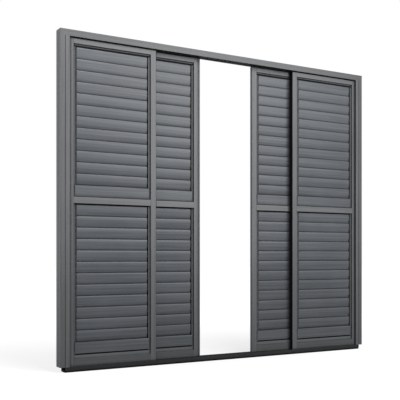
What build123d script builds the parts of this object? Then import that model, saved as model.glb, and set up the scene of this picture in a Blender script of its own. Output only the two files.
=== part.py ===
from build123d import *
from math import cos, radians
import os

# Louvred sliding shutter set: four louvred panels on two tracks, in an aluminium frame.
# Millimetres. X runs along the tracks, Y from the front to the back, Z up.
# The origin is on the floor, at the middle of the frame's width and depth.

# Louvre blades: lens sections with a pin at each end, leaning with the top edge to the front
louvre_count = 12
louvre_pitch = 81.0
louvre_chord = 89.0
louvre_thickness = 8.0
louvre_nose = 4.6
louvre_flat = 30.0
louvre_length = 554.0
louvre_tilt = 7.0
louvre_setback = 18.0
louvre_end_gap = 8.0
pin_size = 5.0
pin_depth = 6.0
pin_clearance = 0.15

# Closing slat: the fixed slat under the lowest blade of each section
slat_height = 80.0
slat_thickness = 5.0
slat_bow = 1.5
slat_end_gap = 11.0

# Pivot strips at the sides of the louvres, and the beads above and below them
strip_width = 16.0
strip_thickness = 12.0
strip_setback = 10.0
top_bead_height = 20.0
bottom_bead_height = 29.0

# Clearances above and below the louvres, from the top of a panel to its bottom
top_louvre_gap = 3.0
mid_rail_top_gap = 2.0
mid_rail_bottom_gap = 8.0
bottom_louvre_gap = 7.0

# Light stops: thin lips behind the gaps at the ends, the top and the bottom of the louvres
stop_overlap = 10.0
stop_end_gap = 0.5

# Panel frame profiles
panel_thickness = 28.0
stile_width = 45.0
top_rail_height = 37.0
mid_rail_height = 46.0
bottom_rail_height = 55.0
skirt_height = 16.0
panel_wall = 2.0
edge_chamfer = 1.0

# Meeting stile of the inner left panel: a wider stile with a finger groove along its whole height
groove_width = 18.0
groove_depth = 4.0
groove_lip = 9.0

# Tracks
track_pitch = 36.0
front_recess = 13.0
back_recess = 7.0
running_gap = 3.5
fin_thickness = 2.0

# Frame profiles
frame_wall = 2.5
jamb_width = 34.0
web_thickness = 3.0
casing_width = 36.0
casing_overlap = 1.0
casing_line_width = 3.0
casing_line_depth = 1.5
casing_line_setback = 33.0
head_casing_height = 25.0
head_track_height = 21.0
head_clearance = 7.0
sill_height = 37.0
sill_floor = 12.0
toe_height = 11.0
toe_setback = 5.0
rib_thickness = 2.0
rib_height = 4.0
rib_clearance = 0.5
sill_engagement = 3.0

# Wheels, and the brackets that carry them on riveted axles
wheel_radius = 11.0
wheel_width = 8.0
wheel_floor_gap = 0.3
axle_radius = 2.5
axle_clearance = 0.1
cheek_gap = 0.5
cheek_thickness = 2.0
carriage_length = 50.0
carriage_inset = 90.0
carriage_drop = 5.0
carriage_chamfer = 4.0

# Top guides
guide_channel_width = 14.0
guide_clearance = 0.3
guide_length = 50.0
guide_inset = 60.0
guide_top_gap = 4.0
guide_chamfer = 3.0

# Buffers and fixing holes
buffer_thickness = 4.0
buffer_width = 15.0
buffer_height = 30.0
buffer_level = 1200.0
stop_clearance = 1.0
hole_radius = 3.5
hole_pitch = 1500.0

# Where the panels stand, measured from closed
outer_left_open = 14.0
inner_left_open = 235.0
inner_right_open = 252.0
outer_right_open = 14.0

# How near to a section corner the middle of an edge has to lie
corner_reach = 0.01

# Heights, built up from the floor
casing_bottom = sill_height - casing_overlap
panel_bottom = sill_height - sill_engagement
bottom_rail_top = panel_bottom + bottom_rail_height
bottom_bead_top = bottom_rail_top + bottom_bead_height
lower_section_bottom = bottom_bead_top + bottom_louvre_gap
section_height = louvre_pitch * (louvre_count + 1)
lower_section_top = lower_section_bottom + section_height
mid_rail_bottom = lower_section_top + mid_rail_bottom_gap
mid_rail_top = mid_rail_bottom + mid_rail_height
upper_section_bottom = mid_rail_top + mid_rail_top_gap
upper_section_top = upper_section_bottom + section_height
top_bead_bottom = upper_section_top + top_louvre_gap
top_rail_bottom = top_bead_bottom + top_bead_height
panel_top = top_rail_bottom + top_rail_height
head_track_bottom = panel_top + head_clearance
head_track_top = head_track_bottom + head_track_height
frame_top = head_track_top + head_casing_height
axle_height = sill_floor + wheel_floor_gap + wheel_radius

# Depths, from the frame's front face to its back
frame_depth = front_recess + track_pitch + panel_thickness + back_recess
frame_front = -frame_depth / 2
frame_back = frame_depth / 2
front_track = frame_front + front_recess + panel_thickness / 2
back_track = front_track + track_pitch
fin_middle = (front_track + back_track) / 2
fin_front = fin_middle - fin_thickness / 2
fin_back = fin_middle + fin_thickness / 2

# Depths within a panel, from its middle plane
panel_face = -panel_thickness / 2
strip_front = panel_face + strip_setback
strip_back = strip_front + strip_thickness
pin_axis = panel_face + louvre_setback
channel_front = pin_axis - pin_size / 2 - pin_clearance
channel_back = pin_axis + pin_size / 2 + pin_clearance

# Widths, from the middle of a panel and from the middle of the frame
blade_end = louvre_length / 2
stop_end = blade_end + stop_end_gap
strip_inner = blade_end + louvre_end_gap
opening_half = strip_inner + strip_width
panel_half = opening_half + stile_width
outer_closed = 2 * panel_half - stile_width
jamb_web_inner = outer_closed + 2 * panel_half + stop_clearance + buffer_thickness
jamb_outer = jamb_web_inner + web_thickness
jamb_inner = jamb_outer - jamb_width
frame_half = jamb_outer + casing_width


def bar_along_x(outline, x_start, x_end):
    """Straight bar along X, from an outline of (y, z) points."""
    face = Plane.YZ.offset(x_start) * make_face(Polyline(*outline, close=True))
    return extrude(face, x_end - x_start, dir=(1, 0, 0))


def bar_along_z(outline, z_start, z_end):
    """Straight bar along Z, from an outline of (x, y) points."""
    face = Plane.XY.offset(z_start) * make_face(Polyline(*outline, close=True))
    return extrude(face, z_end - z_start, dir=(0, 0, 1))


def rectangle(a_start, a_end, b_start, b_end):
    """Corners of a rectangle in a section plane."""
    return [(a_start, b_start), (a_end, b_start), (a_end, b_end), (a_start, b_end)]


def ease_edges(bar, axis, corners):
    """Chamfer the edges of a bar that run along one axis through the given section corners."""
    found = []
    for edge in bar.edges().filter_by(axis):
        middle = edge.center()
        place = (middle.Y, middle.Z) if axis == Axis.X else (middle.X, middle.Y)
        if any(abs(place[0] - a) + abs(place[1] - b) < corner_reach for a, b in corners):
            found.append(edge)
    return chamfer(found, edge_chamfer)


def blade_section():
    """Lens section of a blade: flat middles, sides that slope to narrow noses, and the chord upright."""
    half_chord = louvre_chord / 2
    half_flat = louvre_flat / 2
    half_thick = louvre_thickness / 2
    nose = louvre_nose / 2
    front = [(-nose, -half_chord), (-half_thick, -half_flat), (-half_thick, half_flat), (-nose, half_chord)]
    back = [(-y, -z) for y, z in front]
    return make_face(Polyline(*front, *back, close=True))


def louvre_blade():
    """One blade about its own pin axis, with a square pin at each end that enters the pivot strips."""
    section = Plane.YZ.offset(-blade_end) * Rot(0, 0, louvre_tilt) * blade_section()
    blade = extrude(section, louvre_length, dir=(1, 0, 0))
    pin_reach = strip_inner + pin_depth
    return blade + Box(2 * pin_reach, pin_size, pin_size)


def louvre_section(section_top):
    """The movable blades of one section, from the top down."""
    blade = louvre_blade()
    first = section_top - louvre_chord / 2 * cos(radians(louvre_tilt))
    return [Pos(0, pin_axis, first - index * louvre_pitch) * blade for index in range(louvre_count)]


def closing_slat(section_bottom):
    """Fixed slat below the lowest blade: bowed front, flat back against the pivot strips."""
    half_length = opening_half - slat_end_gap
    back = strip_front
    edge = back - slat_thickness + slat_bow
    slat_top = section_bottom + slat_height
    middle = section_bottom + slat_height / 2
    bow = ThreePointArc((edge, section_bottom), (edge - slat_bow, middle), (edge, slat_top))
    rest = Polyline((edge, slat_top), (back, slat_top), (back, section_bottom), (edge, section_bottom))
    face = Plane.YZ.offset(-half_length) * make_face([bow, rest])
    return extrude(face, 2 * half_length, dir=(1, 0, 0))


def pivot_strip(side, z_start, z_end):
    """Side strip with a channel for the louvre pins, whose back wall runs on behind the blade ends."""
    inner = side * strip_inner
    floor = side * (strip_inner + pin_depth + pin_clearance)
    outer = side * opening_half
    lip = side * stop_end
    outline = [(outer, strip_front), (inner, strip_front), (inner, channel_front), (floor, channel_front),
               (floor, channel_back), (lip, channel_back), (lip, strip_back), (outer, strip_back)]
    return bar_along_z(outline, z_start, z_end)


def pivot_strips():
    """The strips at both sides of the upper and the lower section."""
    spans = [(mid_rail_top, top_bead_bottom), (bottom_bead_top, mid_rail_bottom)]
    return [pivot_strip(side, low, high) for side in (-1, 1) for low, high in spans]


def light_stop(z_start, z_end):
    """Thin lip along X behind a gap above or below the louvres."""
    return bar_along_x(rectangle(channel_back, strip_back, z_start, z_end), -stop_end, stop_end)


def beads():
    """The bead above the upper louvres and the bead below the lower ones, each with its light stop."""
    top = rectangle(strip_front, strip_back, top_bead_bottom, top_rail_bottom)
    top_stop = light_stop(top_bead_bottom - top_louvre_gap - stop_overlap, top_bead_bottom)
    bottom = rectangle(strip_front, strip_back, bottom_rail_top, bottom_bead_top)
    bottom_stop = light_stop(bottom_bead_top, bottom_bead_top + bottom_louvre_gap + stop_overlap)
    return [bar_along_x(top, -opening_half, opening_half) + top_stop,
            bar_along_x(bottom, -opening_half, opening_half) + bottom_stop]


def plain_stile(side):
    """Hollow upright of a panel, with eased long edges."""
    low, high = sorted((side * opening_half, side * panel_half))
    half = panel_thickness / 2
    bar = bar_along_z(rectangle(low, high, -half, half), panel_bottom, panel_top)
    bar = ease_edges(bar, Axis.Z, rectangle(low, high, -half, half))
    hollow = rectangle(low + panel_wall, high - panel_wall, -half + panel_wall, half - panel_wall)
    return bar - bar_along_z(hollow, panel_bottom, panel_top)


def meeting_stile():
    """Wider hollow upright with a finger groove in its front, near the meeting edge."""
    half = panel_thickness / 2
    edge = panel_half + groove_lip
    groove_start = panel_half - groove_width
    groove_floor = -half + groove_depth
    outline = [(opening_half, -half), (groove_start, -half), (groove_start, groove_floor),
               (panel_half, groove_floor), (panel_half, -half), (edge, -half),
               (edge, half), (opening_half, half)]
    bar = bar_along_z(outline, panel_bottom, panel_top)
    bar = ease_edges(bar, Axis.Z, rectangle(opening_half, edge, -half, half))
    hollow = rectangle(opening_half + panel_wall, edge - panel_wall,
                       groove_floor + panel_wall, half - panel_wall)
    return bar - bar_along_z(hollow, panel_bottom, panel_top)


def box_rail(z_start, z_end):
    """Hollow rail between the stiles, with eased long edges."""
    half = panel_thickness / 2
    bar = bar_along_x(rectangle(-half, half, z_start, z_end), -opening_half, opening_half)
    bar = ease_edges(bar, Axis.X, rectangle(-half, half, z_start, z_end))
    hollow = rectangle(-half + panel_wall, half - panel_wall, z_start + panel_wall, z_end - panel_wall)
    return bar - bar_along_x(hollow, -opening_half, opening_half)


def mid_rail():
    """Rail between the two sections, with a light stop above it and one below it."""
    lower_stop = light_stop(mid_rail_bottom - mid_rail_bottom_gap - stop_overlap, mid_rail_bottom)
    upper_stop = light_stop(mid_rail_top, mid_rail_top + mid_rail_top_gap + stop_overlap)
    return box_rail(mid_rail_bottom, mid_rail_top) + lower_stop + upper_stop


def bottom_rail():
    """Rail with a closed chamber above and two skirts below, which hide the carriages."""
    half = panel_thickness / 2
    inside = half - panel_wall
    web_bottom = panel_bottom + skirt_height
    bar = bar_along_x(rectangle(-half, half, panel_bottom, bottom_rail_top), -opening_half, opening_half)
    bar = ease_edges(bar, Axis.X, [(-half, bottom_rail_top), (half, bottom_rail_top)])
    chamber = rectangle(-inside, inside, web_bottom + panel_wall, bottom_rail_top - panel_wall)
    slot = rectangle(-inside, inside, panel_bottom, web_bottom)
    bar = bar - bar_along_x(chamber, -opening_half, opening_half)
    return bar - bar_along_x(slot, -opening_half, opening_half)


def wheel():
    """Plain roller with a bore, turned about the Y axis through its own centre."""
    half = wheel_width / 2
    section = rectangle(axle_radius + axle_clearance, wheel_radius, -half, half)
    face = Plane.XY * make_face(Polyline(*section, close=True))
    return revolve(face, Axis.Y)


def carriage():
    """Folded bracket under the bottom rail's web, with the axle riveted between its two cheeks."""
    inner = wheel_width / 2 + cheek_gap
    outer = inner + cheek_thickness
    top = panel_bottom + skirt_height
    foot = axle_height - carriage_drop
    plate = top - cheek_thickness
    outline = [(-outer, foot), (-inner, foot), (-inner, plate), (inner, plate), (inner, foot),
               (outer, foot), (outer, top), (-outer, top)]
    bracket = bar_along_x(outline, -carriage_length / 2, carriage_length / 2)
    low_corners = bracket.edges().filter_by(Axis.Y).group_by(Axis.Z)[0]
    bracket = chamfer(low_corners, carriage_chamfer)
    axle = Pos(0, 0, axle_height) * Cylinder(axle_radius, 2 * inner, rotation=(90, 0, 0))
    return bracket + axle


def top_guide():
    """Guide block on the top rail, which runs in a channel of the head track."""
    width = guide_channel_width - 2 * guide_clearance
    height = head_track_top - frame_wall - guide_top_gap - panel_top
    block = Pos(0, 0, panel_top + height / 2) * Box(guide_length, width, height)
    return chamfer(block.edges().filter_by(Axis.Z), guide_chamfer)


def panel_pieces(name, has_groove):
    """All pieces of one panel about the middle of its louvres, with the names of their nodes."""
    wheel_reach = opening_half - carriage_inset
    guide_reach = opening_half - guide_inset
    pieces = {
        "left_stile": [plain_stile(-1)],
        "right_stile": [meeting_stile() if has_groove else plain_stile(1)],
        "top_rail": [box_rail(top_rail_bottom, panel_top)],
        "mid_rail": [mid_rail()],
        "bottom_rail": [bottom_rail()],
        "louvres": louvre_section(upper_section_top) + louvre_section(lower_section_top),
        "closing_slats": [closing_slat(upper_section_bottom), closing_slat(lower_section_bottom)],
        "pivot_strips": pivot_strips(),
        "beads": beads(),
        "carriages": [Pos(x, 0, 0) * carriage() for x in (-wheel_reach, wheel_reach)],
        "left_wheel": [Pos(-wheel_reach, 0, axle_height) * wheel()],
        "right_wheel": [Pos(wheel_reach, 0, axle_height) * wheel()],
        "top_guides": [Pos(x, 0, 0) * top_guide() for x in (-guide_reach, guide_reach)],
    }
    return {f"{name}_{piece}": solids for piece, solids in pieces.items()}


def fixing_holes(side):
    """Upper and lower fixing hole through one jamb's web and the casing behind it."""
    length = 2 * (frame_half - jamb_web_inner)
    drill = Cylinder(hole_radius, length, rotation=(0, 90, 0))
    middle = (sill_height + head_track_bottom) / 2
    place = side * (jamb_web_inner + frame_half) / 2
    return [Pos(place, front_track, middle + offset) * drill for offset in (-hole_pitch / 2, hole_pitch / 2)]


def jamb(side):
    """Channel at one side: a web with front and back lips, and a fin between the tracks."""
    inner = jamb_inner
    lip_inner = inner + frame_wall
    web = jamb_web_inner
    front_lip = frame_front + front_recess - running_gap
    back_lip = frame_back - back_recess + running_gap
    outline = [(jamb_outer, frame_front), (inner, frame_front), (inner, front_lip), (lip_inner, front_lip),
               (lip_inner, frame_front + frame_wall), (web, frame_front + frame_wall), (web, fin_front),
               (inner, fin_front), (inner, fin_back), (web, fin_back), (web, frame_back - frame_wall),
               (lip_inner, frame_back - frame_wall), (lip_inner, back_lip), (inner, back_lip),
               (inner, frame_back), (jamb_outer, frame_back)]
    placed = [(side * x, y) for x, y in outline]
    bar = bar_along_z(placed, sill_height, head_track_bottom)
    return bar - fixing_holes(side)


def casing(side):
    """Channel section closed outwards, over the back of one jamb, with a joint line in its outer face."""
    outer = side * frame_half
    bar = rectangle(side * jamb_outer, outer, frame_front, frame_back)
    bar = bar_along_z(bar, casing_bottom, head_track_top)
    bar = ease_edges(bar, Axis.Z, [(outer, frame_front), (outer, frame_back)])
    hollow = rectangle(side * jamb_outer, side * (frame_half - frame_wall),
                       frame_front + frame_wall, frame_back - frame_wall)
    line_front = frame_front + casing_line_setback
    line = rectangle(side * (frame_half - casing_line_depth), outer,
                     line_front, line_front + casing_line_width)
    bar = bar - bar_along_z(hollow, casing_bottom, head_track_top)
    bar = bar - bar_along_z(line, casing_bottom, head_track_top)
    return bar - fixing_holes(side)


def head_casing():
    """Channel section with closed ends, over the head track and the side casings."""
    bar = rectangle(frame_front, frame_back, head_track_top, frame_top)
    bar = bar_along_x(bar, -frame_half, frame_half)
    bar = ease_edges(bar, Axis.X, [(frame_front, frame_top), (frame_back, frame_top)])
    hollow = rectangle(frame_front + frame_wall, frame_back - frame_wall,
                       head_track_top, frame_top - frame_wall)
    return bar - bar_along_x(hollow, -frame_half + frame_wall, frame_half - frame_wall)


def head_track():
    """Profile with a web above, front and back lips, and two fins about each track's guides."""
    web = head_track_top - frame_wall
    channel = guide_channel_width / 2
    wall = channel + fin_thickness
    outline = [(frame_front, head_track_top), (frame_front, head_track_bottom),
               (frame_front + frame_wall, head_track_bottom), (frame_front + frame_wall, web)]
    for track in (front_track, back_track):
        for start, end in [(track - wall, track - channel), (track + channel, track + wall)]:
            outline += [(start, web), (start, head_track_bottom), (end, head_track_bottom), (end, web)]
    outline += [(frame_back - frame_wall, web), (frame_back - frame_wall, head_track_bottom),
                (frame_back, head_track_bottom), (frame_back, head_track_top)]
    return bar_along_x(outline, -jamb_outer, jamb_outer)


def track_ribs(track):
    """Outline points of the two ribs on the sill's floor that keep one track's wheels in line."""
    inner = wheel_width / 2 + rib_clearance
    outer = inner + rib_thickness
    rib_top = sill_floor + rib_height
    points = []
    for start, end in [(track + outer, track + inner), (track - inner, track - outer)]:
        points += [(start, sill_floor), (start, rib_top), (end, rib_top), (end, sill_floor)]
    return points


def sill_track():
    """Profile on the floor: a hollow base set back at the front, lips, a fin and the ribs."""
    outline = [(frame_front + toe_setback, 0), (frame_back, 0), (frame_back, sill_height),
               (frame_back - frame_wall, sill_height), (frame_back - frame_wall, sill_floor)]
    outline += track_ribs(back_track)
    outline += [(fin_back, sill_floor), (fin_back, sill_height),
                (fin_front, sill_height), (fin_front, sill_floor)]
    outline += track_ribs(front_track)
    outline += [(frame_front + frame_wall, sill_floor), (frame_front + frame_wall, sill_height),
                (frame_front, sill_height), (frame_front, toe_height),
                (frame_front + toe_setback, toe_height)]
    bar = bar_along_x(outline, -jamb_outer, jamb_outer)
    chambers = [(frame_front + toe_setback + frame_wall, fin_middle - frame_wall / 2),
                (fin_middle + frame_wall / 2, frame_back - frame_wall)]
    for start, end in chambers:
        chamber = rectangle(start, end, frame_wall, sill_floor - frame_wall)
        bar = bar - bar_along_x(chamber, -jamb_outer, jamb_outer)
    return bar


def buffers():
    """Rubber stops on the jamb webs, one for each track at each side."""
    block = Box(buffer_thickness, buffer_width, buffer_height)
    reach = jamb_web_inner - buffer_thickness / 2
    places = [(side * reach, track) for side in (-1, 1) for track in (front_track, back_track)]
    return [Pos(x, y, buffer_level) * block for x, y in places]


def save(node, solids):
    """Write one node, as one solid or as a group of separate solids."""
    parts = [solid for shape in solids for solid in shape.solids()]
    shape = parts[0] if len(parts) == 1 else Compound(parts)
    export_step(shape, f"parts/{node}.step")


os.makedirs("parts", exist_ok=True)

frame_nodes = {
    "head_casing": [head_casing()],
    "left_casing": [casing(-1)],
    "right_casing": [casing(1)],
    "head_track": [head_track()],
    "sill_track": [sill_track()],
    "left_jamb": [jamb(-1)],
    "right_jamb": [jamb(1)],
    "buffers": buffers(),
}
for node, solids in frame_nodes.items():
    save(node, solids)

# Name, place of the louvres' middle, track and whether the meeting stile has the finger groove
panels = [
    ("outer_left", outer_left_open - outer_closed - panel_half, front_track, False),
    ("inner_left", -inner_left_open - groove_lip - panel_half, back_track, True),
    ("inner_right", inner_right_open + panel_half, back_track, False),
    ("outer_right", outer_closed + panel_half - outer_right_open, front_track, False),
]
for name, middle, track, has_groove in panels:
    for node, solids in panel_pieces(name, has_groove).items():
        save(node, [Pos(middle, track, 0) * solid for solid in solids])
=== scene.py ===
# %% [markdown]
# # Louvred sliding shutters
# Four louvred panels slide on two tracks in an aluminium frame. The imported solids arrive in
# place and in metres, so every new surface is worked out around their own corners. This lesson
# makes the fine and round shapes again with numpy, mixes a satin powder coat for them, and
# sets up a plain studio with the camera where the picture was taken from.

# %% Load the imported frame
import math

import bpy
import numpy as np
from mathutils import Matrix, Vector
from mathutils.geometry import tessellate_polygon


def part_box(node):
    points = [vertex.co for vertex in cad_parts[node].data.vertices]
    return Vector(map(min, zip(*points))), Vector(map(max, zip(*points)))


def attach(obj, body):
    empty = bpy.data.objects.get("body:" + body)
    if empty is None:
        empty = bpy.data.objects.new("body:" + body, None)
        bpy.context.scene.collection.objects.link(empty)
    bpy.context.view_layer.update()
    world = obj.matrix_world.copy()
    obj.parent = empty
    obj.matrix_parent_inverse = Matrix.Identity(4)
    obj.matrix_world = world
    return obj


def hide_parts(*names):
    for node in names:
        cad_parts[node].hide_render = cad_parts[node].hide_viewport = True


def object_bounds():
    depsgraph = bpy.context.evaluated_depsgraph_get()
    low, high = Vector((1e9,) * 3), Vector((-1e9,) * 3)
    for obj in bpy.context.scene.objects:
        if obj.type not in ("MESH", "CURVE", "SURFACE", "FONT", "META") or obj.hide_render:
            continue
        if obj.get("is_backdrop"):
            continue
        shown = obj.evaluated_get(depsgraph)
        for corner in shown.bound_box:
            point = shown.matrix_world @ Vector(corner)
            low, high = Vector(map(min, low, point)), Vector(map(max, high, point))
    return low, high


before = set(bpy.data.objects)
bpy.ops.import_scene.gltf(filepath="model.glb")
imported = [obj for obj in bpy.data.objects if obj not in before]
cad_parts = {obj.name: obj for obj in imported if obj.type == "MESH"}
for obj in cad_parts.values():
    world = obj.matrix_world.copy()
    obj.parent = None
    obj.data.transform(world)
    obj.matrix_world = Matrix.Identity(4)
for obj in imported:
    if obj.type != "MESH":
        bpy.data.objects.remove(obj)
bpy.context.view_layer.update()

MM = 0.001
PANELS = ("outer_left", "inner_left", "inner_right", "outer_right")

# %% [markdown]
# ## Sections with round edges
# Nearly every piece of the shutters is an extruded bar with small round edges that catch the
# light. A box with a Bevel modifier would do for the plain bars, but not for a stile with a
# groove or a rail with a skirt. So a section is kept as a ring of points together with the true
# normal at each point. The normals go into the mesh as well, which keeps wide flats flat beside
# narrow round edges. Sections are written in millimetres, as a maker would draw them, and
# become metres when they are carried into place.

# %% Rings with round corners
ARC_STEPS = 4


def signed_area(points):
    """Half the sum of the cross products of neighbouring points: positive if they run anticlockwise."""
    following = np.roll(points, -1, axis=0)
    return 0.5 * np.sum(points[:, 0] * following[:, 1] - points[:, 1] * following[:, 0])


def rounded_ring(corners, radius):
    """Ring of a polygon whose corners are arcs. An arc starts radius * tan(turn / 2) before its
    corner, and its normal turns evenly from one side's normal to the next side's."""
    corners = np.array(corners, float)
    if signed_area(corners) < 0:
        corners = corners[::-1]
    before = corners - np.roll(corners, 1, axis=0)
    before /= np.linalg.norm(before, axis=1)[:, None]
    after = np.roll(before, -1, axis=0)
    cross = before[:, 0] * after[:, 1] - before[:, 1] * after[:, 0]
    turn = np.arctan2(cross, np.sum(before * after, axis=1))
    setback = radius * np.tan(np.abs(turn) / 2)
    first = np.stack([before[:, 1], -before[:, 0]], axis=1)
    reach = radius * np.sign(turn)
    centre = corners - before * setback[:, None] - first * reach[:, None]
    angle = turn[:, None] * np.linspace(0, 1, ARC_STEPS)[None, :]
    cosine, sine = np.cos(angle), np.sin(angle)
    normal = np.stack([
        first[:, :1] * cosine - first[:, 1:] * sine,
        first[:, :1] * sine + first[:, 1:] * cosine,
    ], axis=2)
    points = centre[:, None, :] + normal * reach[:, None, None]
    return points.reshape(-1, 2), normal.reshape(-1, 2)


def rectangle_ring(a_low, a_high, b_low, b_high, radius):
    """Ring of a rectangle with round corners."""
    return rounded_ring([(a_low, b_low), (a_high, b_low), (a_high, b_high), (a_low, b_high)], radius)


print("ring of a rectangle", len(rectangle_ring(0, 2, 0, 1, 0.1)[0]), "points")


# %% Rings of ellipses, and holes
def ellipse_ring(a, b, half_a, half_b, count):
    """Ring of an ellipse: centre plus (half_a cos t, half_b sin t). Its normal is the gradient
    (cos t / half_a, sin t / half_b), brought to length one."""
    angle = np.linspace(0, 2 * math.pi, count, endpoint=False)
    cosine, sine = np.cos(angle), np.sin(angle)
    normal = np.stack([cosine / half_a, sine / half_b], axis=1)
    normal /= np.linalg.norm(normal, axis=1)[:, None]
    return np.stack([a + half_a * cosine, b + half_b * sine], axis=1), normal


def as_hole(ring):
    """The same ring run the other way round, with normals that point into the hole."""
    points, normals = ring
    return points[::-1], -normals[::-1]


print("area of an ellipse with half axes 2 and 1", round(signed_area(ellipse_ring(0, 0, 2, 1, 64)[0]), 2))

# %% [markdown]
# ## Two ways to carry a section
# A bar carries its ring along a straight line and closes both ends. A turned part carries its
# ring round an axis and closes on itself. Extrude and Spin would do the same by hand, but here
# both are grids of two numbers, the place in the ring and the place along the path, so both are
# whole numpy arrays with no loop over points, and the ring's normals come along.

# %% Caps for the ends of a bar
def end_caps(rings, section):
    """Flat triangles between an outer ring and its holes, all wound anticlockwise."""
    loops = [[Vector((x, y, 0)) for x, y in points] for points, normals in rings]
    caps = np.array(tessellate_polygon(loops))
    corner = section[caps]
    one, two = corner[:, 1] - corner[:, 0], corner[:, 2] - corner[:, 0]
    clockwise = one[:, 0] * two[:, 1] - one[:, 1] * two[:, 0] < 0
    caps[clockwise] = caps[clockwise][:, ::-1]
    return caps


ring = rectangle_ring(0, 2, 0, 1, 0.1)
print("cap of a bar", len(end_caps([ring], ring[0])), "triangles")

# %% Bars along an axis
# Columns of the two section coordinates and of the line, for each axis of the line
COLUMNS = {"X": (1, 2, 0), "Y": (2, 0, 1), "Z": (0, 1, 2)}


def bar(axis, start, end, outer, holes=()):
    """Straight bar: point(i, t) is ring point i in the section plane, with start or end along the axis."""
    a, b, line = COLUMNS[axis]
    rings = [outer] + [as_hole(hole) for hole in holes]
    section = np.concatenate([points for points, normals in rings])
    slopes = np.concatenate([normals for points, normals in rings])
    total = len(section)
    sizes = np.array([len(points) for points, normals in rings])
    starts = np.cumsum(sizes) - sizes
    here = np.arange(total)
    following = here + 1
    following[starts + sizes - 1] = starts
    flat = np.zeros((total, 3))
    flat[:, a], flat[:, b] = slopes[:, 0], slopes[:, 1]
    quads = np.stack([here, following, following + total, here + total], axis=1)
    quad_normals = flat[np.stack([here, following, following, here], axis=1)]
    placed = np.zeros((2 * total, 3))
    placed[:, a], placed[:, b] = np.tile(section[:, 0], 2), np.tile(section[:, 1], 2)
    placed[:total, line], placed[total:, line] = start, end
    caps = end_caps(rings, section)
    triangles = np.concatenate([caps[:, ::-1], caps + total])
    triangle_normals = np.zeros((len(triangles), 3, 3))
    triangle_normals[: len(caps), :, line] = -1
    triangle_normals[len(caps):, :, line] = 1
    return placed * MM, quads, quad_normals, triangles, triangle_normals


sample = bar("Z", 0, 1, ring)
print("bar", len(sample[1]), "quads", len(sample[3]), "triangles")


# %% Turned parts, and surfaces put together
def turned(ring, centre, steps):
    """Turned part about a line along Y: point(i, j) is centre + (r cos v, y, r sin v), where
    (r, y) is ring point i and v is j-th of equal angles. Normals turn the same way."""
    points, normals = ring
    size = len(points)
    angle = np.linspace(0, 2 * math.pi, steps, endpoint=False)
    cosine, sine = np.cos(angle)[:, None], np.sin(angle)[:, None]
    level = np.ones((steps, 1))
    grid = np.stack([points[:, 0] * cosine, points[:, 1] * level, points[:, 0] * sine], axis=2)
    slope = np.stack([normals[:, 0] * cosine, normals[:, 1] * level, normals[:, 0] * sine], axis=2)
    number = np.arange(steps * size).reshape(steps, size)
    along, around = np.roll(number, -1, axis=1), np.roll(number, -1, axis=0)
    quads = np.stack([number, around, np.roll(around, -1, axis=1), along], axis=2).reshape(-1, 4)
    slope = slope.reshape(-1, 3)
    none = np.zeros((0, 3), int)
    return (grid.reshape(-1, 3) + np.array(centre)) * MM, quads, slope[quads], none, np.zeros((0, 3, 3))


def gather(shapes):
    """One surface from several: the points are stacked and the faces' numbers shifted to match."""
    shifts = np.cumsum([0] + [len(shape[0]) for shape in shapes])
    return (
        np.concatenate([shape[0] for shape in shapes]),
        np.concatenate([shape[1] + shift for shape, shift in zip(shapes, shifts)]),
        np.concatenate([shape[2] for shape in shapes]),
        np.concatenate([shape[3] + shift for shape, shift in zip(shapes, shifts)]),
        np.concatenate([shape[4] for shape in shapes]),
    )


def moved(shape, offset):
    """The same surface, offset by a vector in millimetres."""
    return (shape[0] + np.array(offset) * MM, *shape[1:])


print("two bars", len(gather([sample, moved(sample, (0, 5, 0))])[0]), "points")

# %% [markdown]
# ## From arrays to a piece
# A piece is one mesh object at the origin, with its place in its vertices. It rides on a body
# of the frame, stands for the solids that it replaces, and gets its material. Each of these
# could be a line beside every shape. One helper does all of them, so that no piece can miss a
# step.

# %% Make a piece, or dress a node
made = {}


def piece(name, shape, body, nodes, material):
    """Mesh object from a surface, with its own corner normals, riding on a body in place of CAD nodes."""
    vertices, quads, quad_normals, triangles, triangle_normals = shape
    mesh = bpy.data.meshes.new(name)
    mesh.from_pydata(vertices.tolist(), [], quads.tolist() + triangles.tolist())
    mesh.shade_smooth()
    normals = np.concatenate([quad_normals.reshape(-1, 3), triangle_normals.reshape(-1, 3)])
    mesh.normals_split_custom_set(normals.tolist())
    mesh.materials.append(material)
    item = bpy.data.objects.new(name, mesh)
    bpy.context.scene.collection.objects.link(item)
    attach(item, body)
    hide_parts(*nodes)
    made[name] = 2 * len(quads) + len(triangles)
    return item


def dress(nodes, material):
    """Give CAD nodes whose shape is right a material."""
    for node in nodes:
        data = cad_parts[node].data
        data.materials.clear()
        data.materials.append(material)
    print("dressed", ", ".join(nodes), "in", material.name)


# %% [markdown]
# ## Node helpers
# Materials here are small graphs. They could be wired by hand in the shader editor, but short
# helpers that add a maths node, a noise texture, a range or a colour mix, and link whatever
# they are given, let each material below read as a recipe.

# %% Values and sums
def plug(tree, source, socket):
    """Link a socket, or set a plain value."""
    if isinstance(source, bpy.types.NodeSocket):
        tree.links.new(source, socket)
    else:
        socket.default_value = source


def calculate(tree, operation, first, second=0.0, clamp=False):
    """Maths node with two inputs."""
    node = tree.nodes.new("ShaderNodeMath")
    node.operation, node.use_clamp = operation, clamp
    plug(tree, first, node.inputs[0])
    plug(tree, second, node.inputs[1])
    return node.outputs[0]


def weighted(tree, *terms):
    """Sum of values, each times its weight."""
    total = 0.0
    for value, weight in terms:
        total = calculate(tree, "ADD", total, calculate(tree, "MULTIPLY", value, weight))
    return total


# %% Places and patterns
def object_place(tree):
    """The point's place in its object, in metres."""
    return tree.nodes.new("ShaderNodeTexCoord").outputs["Object"]


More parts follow.
